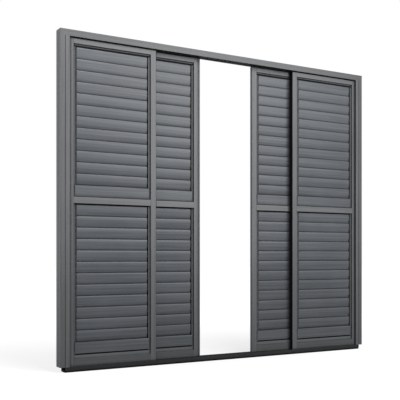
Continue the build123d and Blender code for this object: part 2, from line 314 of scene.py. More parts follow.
def noise(tree, place, scale, detail):
    """Noise between 0 and 1, with features about 1 / scale metres across."""
    node = tree.nodes.new("ShaderNodeTexNoise")
    tree.links.new(place, node.inputs["Vector"])
    plug(tree, scale, node.inputs["Scale"])
    node.inputs["Detail"].default_value = detail
    return node.outputs["Fac"]


def stretch(tree, place, scale):
    """Coordinates times a vector, which draws a pattern out along the axis with the smallest factor."""
    node = tree.nodes.new("ShaderNodeVectorMath")
    node.operation = "MULTIPLY"
    tree.links.new(place, node.inputs[0])
    plug(tree, scale, node.inputs[1])
    return node.outputs["Vector"]


# %% Colours and ranges
# The Mix node has sockets for each kind of value, and these are the ones of its colour mode
MIX_SHARE, MIX_FIRST, MIX_SECOND, MIX_RESULT = 0, 6, 7, 2
RISING, FALLING = (0.0, 1.0), (1.0, 0.0)


def mix_colour(tree, share, first, second):
    """Colour between two, by a share from 0 to 1."""
    node = tree.nodes.new("ShaderNodeMix")
    node.data_type = "RGBA"
    plug(tree, share, node.inputs[MIX_SHARE])
    plug(tree, first, node.inputs[MIX_FIRST])
    plug(tree, second, node.inputs[MIX_SECOND])
    return node.outputs[MIX_RESULT]


def spread(tree, value, old_range, new_range=RISING):
    """Value carried from one range to another, and kept inside it."""
    node = tree.nodes.new("ShaderNodeMapRange")
    plug(tree, value, node.inputs["Value"])
    node.inputs["From Min"].default_value, node.inputs["From Max"].default_value = old_range
    node.inputs["To Min"].default_value, node.inputs["To Max"].default_value = new_range
    return node.outputs["Result"]


# %% Groups of nodes
def new_group(name, inputs, outputs):
    """Shader node group with named inputs and named value outputs."""
    group = bpy.data.node_groups.new(name, "ShaderNodeTree")
    for label, kind, value in inputs:
        group.interface.new_socket(label, in_out="INPUT", socket_type=kind).default_value = value
    for label in outputs:
        group.interface.new_socket(label, in_out="OUTPUT", socket_type="NodeSocketFloat")
    return group, group.nodes.new("NodeGroupInput").outputs, group.nodes.new("NodeGroupOutput").inputs


def use_group(tree, group, **values):
    """Place a group in a material with its own values; underscores stand for spaces."""
    node = tree.nodes.new("ShaderNodeGroup")
    node.node_tree = group
    for label, value in values.items():
        node.inputs[label.replace("_", " ")].default_value = value
    return node.outputs


# %% [markdown]
# ## Grain of a coated extrusion
# Powder coat is sprayed on as dust and melts into a skin with a faint orange peel. Under it,
# the extruded metal keeps fine lines and a few wider streaks along its length. A scratched
# image could show them, but noise on stretched coordinates has no seams and no end. It is a
# group, because every coat uses it: it gives a tone, with a slow cloud of lighter and darker
# patches in it, and a height for the bump.

# %% Group: grain
CLOUD_SIZE = 2.6
LINE_DETAIL, STREAK_DETAIL, CLOUD_DETAIL, PEEL_DETAIL = 2.0, 3.0, 3.0, 1.0
# Shares of cloud, streaks, lines and peel in the tone, and of peel, lines and streaks in the height
TONE_SHARES, HEIGHT_SHARES = (0.25, 0.5, 0.15, 0.1), (0.6, 0.25, 0.15)
grain, given, result = new_group(
    "Coated extrusion grain",
    [
        ("Stretch", "NodeSocketVector", (1, 1, 1)),
        ("Line size", "NodeSocketFloat", 520.0),
        ("Streak size", "NodeSocketFloat", 80.0),
        ("Peel size", "NodeSocketFloat", 900.0),
    ],
    ["Tone", "Height"],
)
where = object_place(grain)
drawn = stretch(grain, where, given["Stretch"])
lines = noise(grain, drawn, given["Line size"], LINE_DETAIL)
streaks = noise(grain, drawn, given["Streak size"], STREAK_DETAIL)
cloud = noise(grain, where, CLOUD_SIZE, CLOUD_DETAIL)
peel = noise(grain, where, given["Peel size"], PEEL_DETAIL)
grain.links.new(weighted(grain, *zip((cloud, streaks, lines, peel), TONE_SHARES)), result["Tone"])
grain.links.new(weighted(grain, *zip((peel, lines, streaks), HEIGHT_SHARES)), result["Height"])
print(grain.name, len(grain.nodes), "nodes")

# %% [markdown]
# ## Wear along edges
# A coat is thinnest on an edge and rubs lighter there. The edges could be picked by hand, but
# the Bevel node finds them on any piece: it smooths the normal over a small radius, and that
# differs from the true normal only where the surface turns. Patches break the worn line up.

# %% Group: wear
BEVEL_SAMPLES = 4
TURN_RANGE = (0.02, 0.25)
WEAR_DETAIL, WEAR_PATCHES, WEAR_SHARES = 3.0, (0.4, 0.65), (0.15, 1.0)
wear, given, result = new_group(
    "Edge wear",
    [("Radius", "NodeSocketFloat", 0.0015), ("Patch size", "NodeSocketFloat", 40.0)],
    ["Mask"],
)
smoothed = wear.nodes.new("ShaderNodeBevel")
smoothed.samples = BEVEL_SAMPLES
wear.links.new(given["Radius"], smoothed.inputs["Radius"])
compare = wear.nodes.new("ShaderNodeVectorMath")
compare.operation = "DOT_PRODUCT"
wear.links.new(smoothed.outputs["Normal"], compare.inputs[0])
wear.links.new(wear.nodes.new("ShaderNodeNewGeometry").outputs["Normal"], compare.inputs[1])
turn = calculate(wear, "SUBTRACT", 1.0, compare.outputs["Value"], clamp=True)
patches = noise(wear, object_place(wear), given["Patch size"], WEAR_DETAIL)
broken = spread(wear, patches, WEAR_PATCHES, WEAR_SHARES)
wear.links.new(calculate(wear, "MULTIPLY", spread(wear, turn, TURN_RANGE), broken), result["Mask"])
print(wear.name, len(wear.nodes), "nodes")

# %% [markdown]
# ## Dust and painted shade
# Dust settles on what faces up, so its mask comes from the normal's upward part. Painted shade
# darkens the creases beside the blades and under the rails. The mask could be painted into an
# image, but the Ambient Occlusion node measures how much of the surroundings a point can see
# within a short reach, and little means a crease. The painted shade also grows darker towards
# the foot, and is darkest along the lowest edge of the sill.

# %% Group: dust
FACING_UP = (0.3, 1.0)
DUST_DETAIL, DUST_PATCHES, DUST_SHARES = 4.0, (0.3, 0.7), (0.3, 1.0)
dust, given, result = new_group("Settled dust", [("Patch size", "NodeSocketFloat", 25.0)], ["Mask"])
facing = dust.nodes.new("ShaderNodeSeparateXYZ")
dust.links.new(dust.nodes.new("ShaderNodeNewGeometry").outputs["Normal"], facing.inputs[0])
patches = noise(dust, object_place(dust), given["Patch size"], DUST_DETAIL)
uneven = spread(dust, patches, DUST_PATCHES, DUST_SHARES)
upward = spread(dust, facing.outputs["Z"], FACING_UP)
dust.links.new(calculate(dust, "MULTIPLY", upward, uneven), result["Mask"])
print(dust.name, len(dust.nodes), "nodes")

# %% Group: painted shade
OCCLUSION_SAMPLES = 6
CREASE_RANGE = (0.68, 0.99)
LOW_SHADE_LEVELS, LOW_SHADE_SHARES = (0.02, 0.9), (0.36, 0.0)
SILL_EDGE_SHADE_LEVELS = (0.006, 0.024)
SHADE_DETAIL, SHADE_PATCHES, SHADE_SHARES = 3.0, (0.3, 0.7), (0.85, 1.0)
painted_shade_group, given, result = new_group(
    "Painted shade in creases and low down",
    [("Reach", "NodeSocketFloat", 0.03), ("Patch size", "NodeSocketFloat", 30.0)],
    ["Mask"],
)
# Painted shade: high where the Ambient Occlusion node finds a crease, growing towards the foot, and highest
# on the lowest edge of the sill
openness = painted_shade_group.nodes.new("ShaderNodeAmbientOcclusion")
openness.samples = OCCLUSION_SAMPLES
painted_shade_group.links.new(given["Reach"], openness.inputs["Distance"])
closed = spread(painted_shade_group, openness.outputs["AO"], CREASE_RANGE, FALLING)
patches = noise(painted_shade_group, object_place(painted_shade_group), given["Patch size"], SHADE_DETAIL)
uneven = spread(painted_shade_group, patches, SHADE_PATCHES, SHADE_SHARES)
height = painted_shade_group.nodes.new("ShaderNodeSeparateXYZ")
painted_shade_group.links.new(object_place(painted_shade_group), height.inputs[0])
shade_low_down = spread(painted_shade_group, height.outputs["Z"], LOW_SHADE_LEVELS, LOW_SHADE_SHARES)
sill_edge_shade = spread(painted_shade_group, height.outputs["Z"], SILL_EDGE_SHADE_LEVELS, FALLING)
shade_total = calculate(painted_shade_group, "MAXIMUM", calculate(painted_shade_group, "MAXIMUM", closed, shade_low_down), sill_edge_shade)
painted_shade_group.links.new(calculate(painted_shade_group, "MULTIPLY", shade_total, uneven), result["Mask"])
print(painted_shade_group.name, len(painted_shade_group.nodes), "nodes")

# %% [markdown]
# ## The satin coat
# The frame and the blades wear the same dark grey coat with a little blue in it. One flat
# colour would be quick, but would look like plastic. So the tone moves over each profile, the
# roughness follows it, the peel and the lines bump the surface, edges are rubbed a little
# lighter, and dust and painted shade lie on top. Lines run along a bar's length, so uprights and
# crossbars each get their own stretch. Casings, head, rails, strips, the rail at the foot and the
# sill get lighter and darker copies of the stiles' coat: painted light makes the rails lighter,
# and painted shade makes the others darker.

# %% Tones of the coat
# Against the stiles' tone, the rails are lighter as painted light, and the casings, head, foot rail, strips
# and sill darker as painted shade
CASING_DARK, CASING_LIGHT = (0.075, 0.078, 0.083, 1), (0.105, 0.109, 0.115, 1)
STILE_DARK, STILE_LIGHT = (0.085, 0.089, 0.094, 1), (0.119, 0.124, 0.131, 1)
RAIL_DARK, RAIL_LIGHT = (0.096, 0.100, 0.105, 1), (0.134, 0.139, 0.146, 1)
FOOT_DARK, FOOT_LIGHT = (0.060, 0.063, 0.067, 1), (0.085, 0.089, 0.094, 1)
BLADE_DARK, BLADE_LIGHT = (0.068, 0.075, 0.085, 1), (0.104, 0.113, 0.126, 1)
STRIP_DARK, STRIP_LIGHT = (0.070, 0.074, 0.080, 1), (0.098, 0.103, 0.110, 1)
SILL_DARK, SILL_LIGHT = (0.016, 0.017, 0.018, 1), (0.023, 0.024, 0.026, 1)
RUBBED = (0.21, 0.22, 0.23, 1)
DUST_GREY = (0.34, 0.33, 0.31, 1)
# Colour of the painted shade in creases and towards the foot
PAINTED_SHADE_DARK = (0.004, 0.004, 0.005, 1)
print("casing against stile", round(CASING_LIGHT[1] / STILE_LIGHT[1], 2))

# %% Mix a coat
COAT_SPECULAR, SILL_SPECULAR = 0.38, 0.18
COAT_ROUGHNESS = 0.36
# Lines are drawn out to about seventy times their width
ALONG = 0.015
TONE_RANGE, ROUGHNESS_RANGE, ROUGHNESS_SWING = (0.42, 0.58), (0.35, 0.65), 0.04
DUST_COVER, DUST_AND_SHADE_ROUGHNESS = 0.25, 0.5
COAT_BUMP, COAT_BUMP_HEIGHT = 0.25, 0.00012


def swing(middle, half_width):
    """Range about a middle value."""
    return middle - half_width, middle + half_width


def coat(name, axis, dark, light, roughness, rub=0.35, shade_share=0.92, specular=COAT_SPECULAR):
    """Powder coat on an extrusion whose lines run along an axis, worn by rub, and darkened by painted shade
    in creases and towards the foot, by the share given.
    """
    material = bpy.data.materials.new(name)
    material.use_nodes = True
    tree = material.node_tree
    shader = tree.nodes["Principled BSDF"]
    surface = use_group(tree, grain, Stretch=tuple(ALONG if axis == letter else 1.0 for letter in "XYZ"))
    colour = mix_colour(tree, spread(tree, surface["Tone"], TONE_RANGE), dark, light)
    rubbed = calculate(tree, "MULTIPLY", use_group(tree, wear)["Mask"], rub)
    colour = mix_colour(tree, rubbed, colour, RUBBED)
    lying = calculate(tree, "MULTIPLY", use_group(tree, dust)["Mask"], DUST_COVER)
    colour = mix_colour(tree, lying, colour, DUST_GREY)
    # Painted shade in creases and towards the foot darkens the colour, by its share
    painted_shade = use_group(tree, painted_shade_group)["Mask"]
    colour = mix_colour(tree, calculate(tree, "MULTIPLY", painted_shade, shade_share), colour, PAINTED_SHADE_DARK)
    tree.links.new(colour, shader.inputs["Base Color"])
    shader.inputs["Specular IOR Level"].default_value = specular
    rough = spread(tree, surface["Tone"], ROUGHNESS_RANGE, swing(roughness, ROUGHNESS_SWING))
    # Dust and the painted shade's mask also make the coat rougher
    dust_and_shade_rough = calculate(tree, "MULTIPLY", calculate(tree, "MAXIMUM", lying, painted_shade), DUST_AND_SHADE_ROUGHNESS)
    rough = calculate(tree, "ADD", rough, dust_and_shade_rough, clamp=True)
    tree.links.new(rough, shader.inputs["Roughness"])
    bump = tree.nodes.new("ShaderNodeBump")
    bump.inputs["Strength"].default_value = COAT_BUMP
    bump.inputs["Distance"].default_value = COAT_BUMP_HEIGHT
    tree.links.new(surface["Height"], bump.inputs["Height"])
    tree.links.new(bump.outputs["Normal"], shader.inputs["Normal"])
    print(name, len(tree.nodes), "nodes")
    return material


# %% Coats for the frame, the panels and the blades
# The casing, head, rail, foot, strip and sill coats are lit and shaded copies of one coat: painted light on
# the rails, painted shade on the others
coat_casing = coat("satin_coat_casing", "Z", CASING_DARK, CASING_LIGHT, COAT_ROUGHNESS)
coat_head = coat("satin_coat_head", "X", CASING_DARK, CASING_LIGHT, COAT_ROUGHNESS)
coat_upright = coat("satin_coat_upright", "Z", STILE_DARK, STILE_LIGHT, COAT_ROUGHNESS)
coat_rail = coat("satin_coat_rail", "X", RAIL_DARK, RAIL_LIGHT, COAT_ROUGHNESS)
coat_foot = coat("satin_coat_foot", "X", FOOT_DARK, FOOT_LIGHT, roughness=0.38)
coat_bead = coat("satin_coat_bead", "X", STILE_DARK, STILE_LIGHT, COAT_ROUGHNESS, shade_share=0.45)
coat_blade = coat("satin_coat_blade", "X", BLADE_DARK, BLADE_LIGHT, roughness=0.34, rub=0.12)
coat_strip = coat("satin_coat_strip", "Z", STRIP_DARK, STRIP_LIGHT, roughness=0.42, shade_share=0.7)
coat_sill = coat(
    "satin_coat_sill", "X", SILL_DARK, SILL_LIGHT, roughness=0.42, rub=0.1, specular=SILL_SPECULAR)

# %% [markdown]
# ## Nylon, acetal, zinc and rubber
# The small fittings are moulded or plated. A plain colour would do from afar, but they show
# when a panel slides. So each gets two near colours in patches of its own size, an uneven
# roughness, a fine bump and lighter edges. Zinc plate is a metal, so its colour is what it
# reflects.

# %% Mix a fitting
PATCH_DETAIL, PATCH_RANGE, PATCH_ROUGHNESS, PATCH_SWING = 4.0, (0.35, 0.65), (0.3, 0.7), 0.07
FITTING_EDGE, FITTING_RUB, RUBBED_GAIN = 0.0008, 0.3, 1.8
FITTING_BUMP, FITTING_BUMP_HEIGHT = 0.3, 0.00005
MOULD_SIZE, MOULD_DETAIL = 1400.0, 2.0


def fitting(name, first, second, patch, roughness, metallic=0.0, specular=0.5):
    """Fitting material: two near colours in patches, uneven roughness, fine bump and worn edges."""
    material = bpy.data.materials.new(name)
    material.use_nodes = True
    tree = material.node_tree
    shader = tree.nodes["Principled BSDF"]
    where = object_place(tree)
    patches = noise(tree, where, patch, PATCH_DETAIL)
    colour = mix_colour(tree, spread(tree, patches, PATCH_RANGE), first, second)
    rubbed = calculate(tree, "MULTIPLY", use_group(tree, wear, Radius=FITTING_EDGE)["Mask"], FITTING_RUB)
    colour = mix_colour(tree, rubbed, colour, tuple(min(1, RUBBED_GAIN * part) for part in second))
    tree.links.new(colour, shader.inputs["Base Color"])
    rough = spread(tree, patches, PATCH_ROUGHNESS, swing(roughness, PATCH_SWING))
    tree.links.new(rough, shader.inputs["Roughness"])
    shader.inputs["Metallic"].default_value = metallic
    shader.inputs["Specular IOR Level"].default_value = specular
    bump = tree.nodes.new("ShaderNodeBump")
    bump.inputs["Strength"].default_value = FITTING_BUMP
    bump.inputs["Distance"].default_value = FITTING_BUMP_HEIGHT
    tree.links.new(noise(tree, where, MOULD_SIZE, MOULD_DETAIL), bump.inputs["Height"])
    tree.links.new(bump.outputs["Normal"], shader.inputs["Normal"])
    print(name, len(tree.nodes), "nodes")
    return material


# %% The fittings' materials
# Black nylon for the top guides; the same black on the seals, brushes, liners and stops is painted shade
black_nylon_and_shade = fitting(
    "black_nylon_and_shade", (0.004, 0.004, 0.005, 1), (0.008, 0.008, 0.009, 1),
    patch=60.0, roughness=0.65, specular=0.08)
grey_nylon = fitting(
    "grey_nylon", (0.056, 0.059, 0.063, 1), (0.076, 0.080, 0.085, 1),
    patch=60.0, roughness=0.5, specular=0.3)
wheel_acetal = fitting(
    "wheel_acetal", (0.55, 0.54, 0.5, 1), (0.63, 0.62, 0.58, 1),
    patch=90.0, roughness=0.38)
zinc_plate = fitting(
    "zinc_plated_steel", (0.42, 0.43, 0.44, 1), (0.56, 0.57, 0.58, 1),
    patch=140.0, roughness=0.38, metallic=1.0)
soft_rubber = fitting(
    "buffer_rubber", (0.012, 0.012, 0.012, 1), (0.022, 0.022, 0.022, 1),
    patch=80.0, roughness=0.7, specular=0.3)

# %% [markdown]
# ## Where the panels are
# Each panel stands on one of two tracks, at its own place along it. These places could be
# copied from the drawing, but the solids know them: the louvres' box gives the middle of the
# panel's width, and a stile's box gives the track that the panel runs on.

# %% Measure the panels
middles, tracks = {}, {}
for panel in PANELS:
    low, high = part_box(f"{panel}_louvres")
    middles[panel] = (low.x + high.x) / 2 / MM
    low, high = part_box(f"{panel}_left_stile")
    tracks[panel] = (low.y + high.y) / 2 / MM
    print(panel, "middle", round(middles[panel], 2), "track", round(tracks[panel], 2))

# %% [markdown]
# ## Blades
# A louvre blade is an extruded aerofoil, close to a flat ellipse, which is why each one shades
# softly from its top edge to its bottom edge. A bent sheet would be quicker to make, but would
# show no thickness at the laps. The blade leans with its top edge to the front. Its ends carry
# grey caps with a round pin, and the pins turn in the channels at the sides. A cap is fuller
# behind than the blade, so that no light passes between it and the stop in the side strip.
# Twenty-four copies of one blade make a panel's set.

# %% One blade
CHORD, THICKNESS, TILT = 89.0, 11.0, math.radians(7.0)
BLADE_HALF = 273.0
BLADE_POINTS = 44


def leaning(ring, depth, level):
    """Ring turned by the blades' tilt about its middle, top edge to the front, then put in place."""
    points, normals = ring
    turn = np.array([[math.cos(TILT), math.sin(TILT)], [-math.sin(TILT), math.cos(TILT)]])
    return points @ turn + [depth, level], normals @ turn


def blade(middle, depth, level):
    """Elliptical blade between its end caps."""
    ring = leaning(ellipse_ring(0, 0, THICKNESS / 2, CHORD / 2, BLADE_POINTS), depth, level)
    return bar("X", middle - BLADE_HALF, middle + BLADE_HALF, ring)


print("blade", len(blade(0, 0, 0)[1]), "quads")

# %% Its two end caps
CAP_THICKNESS, CAP_INSET, CAP_BACK = 4.0, 0.5, 5.0
PIN_RADIUS, PIN_REACH, PIN_POINTS = 2.4, 290.9, 16


def blade_ends(middle, depth, level):
    """End caps, a little smaller than the blade in front and fuller behind, each with a round pin."""
    half_thick, half_chord = (THICKNESS + CAP_BACK - CAP_INSET) / 2, CHORD / 2 - CAP_INSET
    shift = (CAP_BACK + CAP_INSET) / 2
    cap = leaning(ellipse_ring(shift, 0, half_thick, half_chord, BLADE_POINTS), depth, level)
    pin = ellipse_ring(depth, level, PIN_RADIUS, PIN_RADIUS, PIN_POINTS)
    shapes = []
    for side in (-1, 1):
        edges = [middle + side * BLADE_HALF, middle + side * (BLADE_HALF + CAP_THICKNESS)]
        shapes.append(bar("X", *sorted(edges), cap))
        shapes.append(bar("X", *sorted([edges[1], middle + side * PIN_REACH]), pin))
    return gather(shapes)


print("caps and pins of a blade", len(blade_ends(0, 0, 0)[1]), "quads")

# %% The blades of every panel
PITCH, BLADES = 81.0, 12
HALF_HEIGHT = CHORD / 2 * math.cos(TILT)
PIN_DEPTH = 4.0
for panel in PANELS:
    low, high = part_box(f"{panel}_louvres")
    top_level = high.z / MM - HALF_HEIGHT
    low_level = low.z / MM + HALF_HEIGHT
    levels = [top_level - row * PITCH for row in range(BLADES)]
    levels += [low_level + row * PITCH for row in range(BLADES)]
    depth = tracks[panel] + PIN_DEPTH
    for name, maker, slot, material in (
        ("blades", blade, "painted_blade", coat_blade),
        ("blade_ends", blade_ends, "guide_plastic", grey_nylon),
    ):
        one = maker(middles[panel], depth, 0.0)
        rows = gather([moved(one, (0, 0, level)) for level in levels])
        item = piece(f"{panel}_{name}", rows, panel, [f"{panel}_louvres"], material)
        print(item.name, made[item.name], "triangles")

# %% [markdown]
# ## Closing slats
# Under the lowest blade of each section sits a fixed slat with a bowed front, so it shades like
# a blade but stands upright. An arc would bow evenly. A power of the height fits better: the
# front leans out towards the top and turns away quickly at the lower edge, which goes dark as
# that of a blade does.

# %% Section of a slat
SLAT_HALF, SLAT_HEIGHT, SLAT_BACK = 290.0, 80.0, -4.0
SLAT_EDGE, SLAT_BOW, SLAT_POWER = -4.6, 4.4, 0.6
# The slope of the bow is endless at its very edge, so it is taken a little above it there
LEAST_SHARE = 0.002
BOW_STEPS = 17


def slat(track, bottom):
    """Ring of a slat: at the share u of its height, its front is at depth edge - bow * u ** power,
    and its normal is at right angles to that curve's slope. The back and the edges are flat."""
    u = np.linspace(0, 1, BOW_STEPS) ** 2
    front = np.stack([SLAT_EDGE - SLAT_BOW * u ** SLAT_POWER, SLAT_HEIGHT * u], axis=1)
    rise = -SLAT_BOW * SLAT_POWER * np.maximum(u, LEAST_SHARE) ** (SLAT_POWER - 1) / SLAT_HEIGHT
    slope = np.stack([-np.ones(BOW_STEPS), rise], axis=1)
    slope /= np.linalg.norm(slope, axis=1)[:, None]
    back = np.array([(SLAT_BACK, SLAT_HEIGHT), (SLAT_BACK, 0.0)])
    points = np.concatenate([front, front[-1:], back, back[1:], front[:1]]) + [track, bottom]
    flats = [(0.0, 1.0), (0.0, 1.0), (1.0, 0.0), (0.0, -1.0), (0.0, -1.0)]
    return points[::-1], np.concatenate([slope, flats])[::-1]


print("section of a slat", len(slat(0, 0)[0]), "points")

# %% The slats of every panel
SECTION_BOTTOMS = (125.0, 1234.0)
for panel in PANELS:
    ends = middles[panel] - SLAT_HALF, middles[panel] + SLAT_HALF
    slats = gather([bar("X", *ends, slat(tracks[panel], bottom)) for bottom in SECTION_BOTTOMS])
    item = piece(f"{panel}_slats", slats, panel, [f"{panel}_closing_slats"], coat_blade)
    print(item.name, made[item.name], "triangles")

# %% [markdown]
# ## Stiles and rails
# The panel's frame is made of hollow box profiles with a 2 mm wall. Rails butt against the
# stiles, and the round edges of the two leave the fine joint line that a welded or screwed
# corner shows. A single frame with mitred corners would be one mesh, but would lose that line.
# The stile of the inner left panel that meets the other half is wider, and has a finger groove
# in its front. The bottom rail has skirts that hide the wheels.

# %% Box profiles
HALF_DEPTH, WALL, EDGE, INNER_EDGE = 14.0, 2.0, 2.2, 0.5
OPENING_HALF, PANEL_HALF = 301.0, 346.0
BOTTOM, TOP = 34.0, 2347.0


def box_profile(axis, start, end, a_low, a_high, b_low, b_high):
    """Hollow box profile with round edges."""
    outer = rectangle_ring(a_low, a_high, b_low, b_high, EDGE)
    inner = rectangle_ring(a_low + WALL, a_high - WALL, b_low + WALL, b_high - WALL, INNER_EDGE)
    return bar(axis, start, end, outer, [inner])


plain_stile = box_profile("Z", BOTTOM, TOP, OPENING_HALF, PANEL_HALF, -HALF_DEPTH, HALF_DEPTH)
print("plain stile", len(plain_stile[1]), "quads")

# %% Stile with a finger groove
GROOVE_WIDTH, GROOVE_DEPTH, LIP, GROOVE_EDGE = 18.0, 4.0, 9.0, 1.0


def grooved_stile(middle, track):
    """Wide stile with a groove, from its own outline of eight corners."""
    start, edge = middle + OPENING_HALF, middle + PANEL_HALF + LIP
    front, back = track - HALF_DEPTH, track + HALF_DEPTH
    near, far, floor = middle + PANEL_HALF - GROOVE_WIDTH, middle + PANEL_HALF, front + GROOVE_DEPTH
    outline = [(start, front), (near, front), (near, floor), (far, floor),
               (far, front), (edge, front), (edge, back), (start, back)]
    inner = rectangle_ring(start + WALL, edge - WALL, floor + WALL, back - WALL, INNER_EDGE)
    return bar("Z", BOTTOM, TOP, rounded_ring(outline, GROOVE_EDGE), [inner])


print("grooved stile", len(grooved_stile(0, 0)[1]), "quads")

# %% Bottom rail with skirts
BOTTOM_RAIL_TOP, WEB_BOTTOM, SKIRT_EDGE = 89.0, 50.0, 0.8


def skirt_rail(middle, track):
    """Bottom rail: a closed chamber above, and two skirts that hide the wheels below."""
    front, back = track - HALF_DEPTH, track + HALF_DEPTH
    outline = [(front, BOTTOM), (front + WALL, BOTTOM), (front + WALL, WEB_BOTTOM), (back - WALL, WEB_BOTTOM),
               (back - WALL, BOTTOM), (back, BOTTOM), (back, BOTTOM_RAIL_TOP), (front, BOTTOM_RAIL_TOP)]
    chamber = rectangle_ring(front + WALL, back - WALL, WEB_BOTTOM + WALL, BOTTOM_RAIL_TOP - WALL, INNER_EDGE)
    outer = rounded_ring(outline, SKIRT_EDGE)
    return bar("X", middle - OPENING_HALF, middle + OPENING_HALF, outer, [chamber])


print("bottom rail", len(skirt_rail(0, 0)[1]), "quads")

# %% [markdown]
# ## Side seals, painted shade
# The outer panels pass in front of the inner ones, and the side of the stile there looks black,
# as it lies in deep shade. Black paint on the stile would look the same from the front, but the
# gap behind it would stay open. So the stile carries a flat black seal, let into the profile,
# and a black brush towards the panel behind: both are painted shade.

# %% Flat seal and brush, black as painted shade
SEAL_THICKNESS, SEAL_MARGIN, SEAL_EDGE = 1.2, 1.6, 0.4
BRUSH_WIDTH, BRUSH_REACH, BRUSH_BOTTOM, BRUSH_EDGE = 6.0, 7.0, 42.0, 0.8


def side_shade_seal(edge, inward, track):
    """Flat seal on the side of a stile, and a brush that closes most of the gap to the panel
    behind, both black as painted shade. The brush starts above the sill, whose middle rib stands between the
    tracks."""
    front, back = track - HALF_DEPTH + SEAL_MARGIN, track + HALF_DEPTH
    flat = rectangle_ring(*sorted([edge, edge + inward * SEAL_THICKNESS]), front, back, SEAL_EDGE)
    brush = rectangle_ring(*sorted([edge, edge + inward * BRUSH_WIDTH]), back, back + BRUSH_REACH, BRUSH_EDGE)
    return gather([bar("Z", BOTTOM, TOP, flat), bar("Z", BRUSH_BOTTOM, TOP, brush)])


# The panels whose stile is sealed: which edge that is, and the stile's name
SEALED = {"outer_left": (1, "right_stile"), "outer_right": (0, "left_stile")}
panel_edges = {panel: [middles[panel] - PANEL_HALF, middles[panel] + PANEL_HALF] for panel in PANELS}
for panel, (which, stile) in SEALED.items():
    inward = -1 if which else 1
    seal = side_shade_seal(panel_edges[panel][which], inward, tracks[panel])
    item = piece(f"{panel}_side_shade_seal", seal, panel, [f"{panel}_{stile}"], black_nylon_and_shade)
    panel_edges[panel][which] += inward * SEAL_THICKNESS
    print(item.name, made[item.name], "triangles")

# %% Stiles and rails of every panel
MID_RAIL, TOP_RAIL = (1186.0, 1232.0), (2310.0, 2347.0)
for panel in PANELS:
    middle, track, edges = middles[panel], tracks[panel], panel_edges[panel]
    depth = track - HALF_DEPTH, track + HALF_DEPTH
    span = middle - OPENING_HALF, middle + OPENING_HALF
    left = box_profile("Z", BOTTOM, TOP, edges[0], span[0], *depth)
    right = box_profile("Z", BOTTOM, TOP, span[1], edges[1], *depth)
    if panel == "inner_left":
        right = grooved_stile(middle, track)
    for name, shape, material in (
        ("left_stile", left, coat_upright),
        ("right_stile", right, coat_upright),
        ("top_rail", box_profile("X", *span, *depth, *TOP_RAIL), coat_rail),
        ("mid_rail", box_profile("X", *span, *depth, *MID_RAIL), coat_rail),
        ("bottom_rail", skirt_rail(middle, track), coat_foot),
    ):
        piece(f"{panel}_{name}_profile", shape, panel, [f"{panel}_{name}"], material)
print("stile", made["outer_left_left_stile_profile"], "triangles")

# %% [markdown]
# ## Pivot strips
# At both sides of the blades runs a coated strip with a black liner. The pins turn in the
# liner's channel, and its lip reaches behind the blade ends to stop the light. One strip in one
# colour would be simpler, but the gaps beside the blades look black only where a black surface
# lies behind them, so the liner's black is painted shade in those gaps, and the strip's coat is
# painted a little darker as shade. So the strip and its liner are two pieces.

# %% Strips and liners
STRIP_INNER, LINER_BACK, FLANGE = 285.0, 292.5, 1.2
STRIP_FRONT, STRIP_BACK = -4.0, 8.0
CHANNEL_FLOOR, CHANNEL_FRONT, CHANNEL_BACK = 291.15, 1.35, 6.65
STOP_END = 277.5
STRIP_SPANS = (118.0, 1186.0), (1232.0, 2290.0)
STRIP_EDGE, LINER_EDGE = 0.5, 0.2


def side_outline(side, middle, track, outline):
    """Outline given as distances from the panel's middle and depths, put at one side of a panel."""
    return [(middle + side * a, track + b) for a, b in outline]


STRIP_OUTLINE = [(OPENING_HALF, STRIP_FRONT), (STRIP_INNER, STRIP_FRONT), (STRIP_INNER, STRIP_FRONT + FLANGE),
                 (LINER_BACK, STRIP_FRONT + FLANGE), (LINER_BACK, STRIP_BACK), (OPENING_HALF, STRIP_BACK)]
LINER_OUTLINE = [(LINER_BACK, STRIP_FRONT + FLANGE), (STRIP_INNER, STRIP_FRONT + FLANGE),
                 (STRIP_INNER, CHANNEL_FRONT), (CHANNEL_FLOOR, CHANNEL_FRONT), (CHANNEL_FLOOR, CHANNEL_BACK),
                 (STOP_END, CHANNEL_BACK), (STOP_END, STRIP_BACK), (LINER_BACK, STRIP_BACK)]
for panel in PANELS:
    middle, track = middles[panel], tracks[panel]
    strips, liners = [
        gather([
            bar("Z", *span, rounded_ring(side_outline(side, middle, track, outline), radius))
            for side in (-1, 1) for span in STRIP_SPANS
        ])
        for outline, radius in ((STRIP_OUTLINE, STRIP_EDGE), (LINER_OUTLINE, LINER_EDGE))
    ]
    piece(f"{panel}_strips", strips, panel, [f"{panel}_pivot_strips"], coat_strip)
    piece(f"{panel}_liners", liners, panel, [f"{panel}_pivot_strips"], black_nylon_and_shade)
print("strips", made["outer_left_strips"], "liners", made["outer_left_liners"], "triangles")

# %% [markdown]
# ## Beads and light stops
# Beads close the frame above and below the blades. A black seal sits in the edge of each bead,
# and black stops lie behind the gaps there; their black is painted shade on the dark lines above
# and below the blades. The gaps could be left open, but then the white behind the shutters would
# show through them as bright lines.

# %% Beads, seals and stops
BEADS, BEAD_EDGE = ((89.0, 114.0), (2300.0, 2310.0)), 0.8
SEALS, SEAL_SETBACK = ((114.0, 118.0), (2290.0, 2300.0)), 2.0
STOPS = (118.0, 135.0), (1168.0, 1186.0), (1232.0, 1244.0), (2277.0, 2290.0)


def crossbars(middle, half, depths, spans, radius):
    """Bars across a panel, one for each span of height, between two depths."""
    rings = [rectangle_ring(*depths, *span, radius) for span in spans]
    return [bar("X", middle - half, middle + half, ring) for ring in rings]


